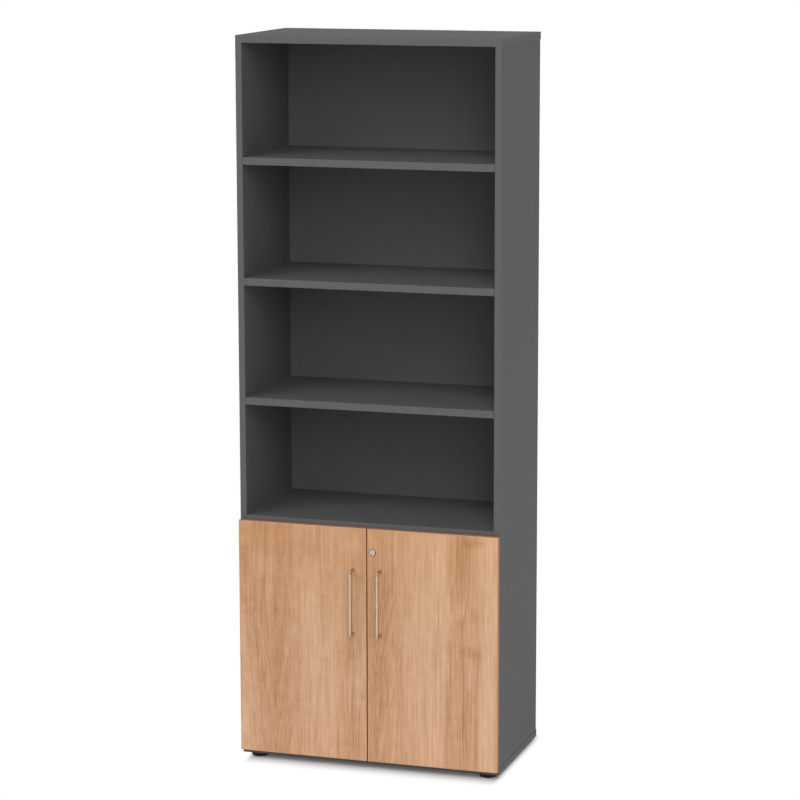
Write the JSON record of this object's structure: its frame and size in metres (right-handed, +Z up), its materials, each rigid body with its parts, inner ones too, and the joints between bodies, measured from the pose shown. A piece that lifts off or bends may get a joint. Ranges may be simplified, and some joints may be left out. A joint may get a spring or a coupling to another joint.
{
  "type": "bookcase with cabinet doors",
  "caption": "Tall free-standing office bookcase: open shelf compartments above a cupboard with hinged overlay doors, bar handles, a cam lock and levelling feet",
  "frame": {"origin": "on the floor, under the centre of the overall box (doors and handles included)", "axes": "+Z up; the open front and the doors face -Y; +X is to the right of someone who faces the doors"},
  "size_m": [0.8, 0.474, 2.16],
  "materials": {
    "carcass_board": "anthracite melamine, fine texture, matt",
    "carcass_edging": "anthracite ABS edging, matt",
    "door_veneer": "walnut decor with upright grain, satin",
    "door_edging": "dark walnut ABS edging, satin",
    "handle_metal": "satin nickel",
    "lock_chrome": "polished chrome",
    "hinge_steel": "nickel plated, satin",
    "fastener_steel": "zinc plated",
    "foot_plastic": "black, matt",
    "bumper_rubber": "translucent grey silicone",
    "dowel_beech": "plain beech"
  },
  "bodies": {
    "carcass": {"back_panel": "carcass_board", "bottom_edging": "carcass_edging", "bottom_panel": "carcass_board", "cam_bolts": "fastener_steel", "cam_caps": "carcass_edging", "cam_housings": "fastener_steel", "cupboard_shelf": "carcass_board", "cupboard_shelf_edging": "carcass_edging", "divider_edging": "carcass_edging", "divider_shelf": "carcass_board", "door_bumpers": "bumper_rubber", "dowels": "dowel_beech", "foot_inserts": "fastener_steel", "hinge_arms_left": "hinge_steel", "hinge_arms_right": "hinge_steel", "hinge_plate_screws_left": "fastener_steel", "hinge_plate_screws_right": "fastener_steel", "hinge_plates_left": "hinge_steel", "hinge_plates_right": "hinge_steel", "lock_strike": "hinge_steel", "lock_strike_screws": "fastener_steel", "open_shelf_edging": "carcass_edging", "open_shelf_lower": "carcass_board", "open_shelf_middle": "carcass_board", "open_shelf_upper": "carcass_board", "shelf_pins": "fastener_steel", "side_left": "carcass_board", "side_left_edging": "carcass_edging", "side_right": "carcass_board", "side_right_edging": "carcass_edging", "top_edging": "carcass_edging", "top_panel": "carcass_board"},
    "left_door": {"door_left": "door_veneer", "hinge_cups_left": "hinge_steel", "hinge_pins_left": "fastener_steel", "hinge_cup_screws_left": "fastener_steel", "handle_bar_left": "handle_metal", "handle_posts_left": "handle_metal", "handle_screws_left": "fastener_steel", "door_left_edging": "door_edging"},
    "right_door": {"door_right": "door_veneer", "hinge_cups_right": "hinge_steel", "hinge_pins_right": "fastener_steel", "hinge_cup_screws_right": "fastener_steel", "handle_bar_right": "handle_metal", "handle_posts_right": "handle_metal", "handle_screws_right": "fastener_steel", "door_right_edging": "door_edging", "lock_housing": "lock_chrome", "lock_nut": "hinge_steel"},
    "lock_plug": {"lock_plug": "lock_chrome", "lock_cam": "hinge_steel", "lock_cam_screw": "fastener_steel"},
    "foot_front_left": {"foot_front_left": "foot_plastic"},
    "foot_front_right": {"foot_front_right": "foot_plastic"},
    "foot_rear_left": {"foot_rear_left": "foot_plastic"},
    "foot_rear_right": {"foot_rear_right": "foot_plastic"}
  },
  "joints": [
    {"name": "left_door_swing", "type": "hinge", "parent": "carcass", "child": "left_door", "pos_m": [-0.3935, -0.1934, 0.3795], "axis": [0, 0, -1], "range_deg": [0, 95]},
    {"name": "right_door_swing", "type": "hinge", "parent": "carcass", "child": "right_door", "pos_m": [0.3935, -0.1934, 0.3795], "axis": [0, 0, 1], "range_deg": [0, 95]},
    {"name": "lock_turn", "type": "hinge", "parent": "right_door", "child": "lock_plug", "pos_m": [0.0185, -0.201, 0.662], "axis": [0, -1, 0], "range_deg": [0, 90]},
    {"name": "foot_front_left_turn", "type": "hinge", "parent": "carcass", "child": "foot_front_left", "pos_m": [-0.358, -0.149, 0.014], "axis": [0, 0, 1], "continuous": true},
    {"name": "foot_front_right_turn", "type": "hinge", "parent": "carcass", "child": "foot_front_right", "pos_m": [0.358, -0.149, 0.014], "axis": [0, 0, 1], "continuous": true},
    {"name": "foot_rear_left_turn", "type": "hinge", "parent": "carcass", "child": "foot_rear_left", "pos_m": [-0.358, 0.189, 0.014], "axis": [0, 0, 1], "continuous": true},
    {"name": "foot_rear_right_turn", "type": "hinge", "parent": "carcass", "child": "foot_rear_right", "pos_m": [0.358, 0.189, 0.014], "axis": [0, 0, 1], "continuous": true}
  ]
}
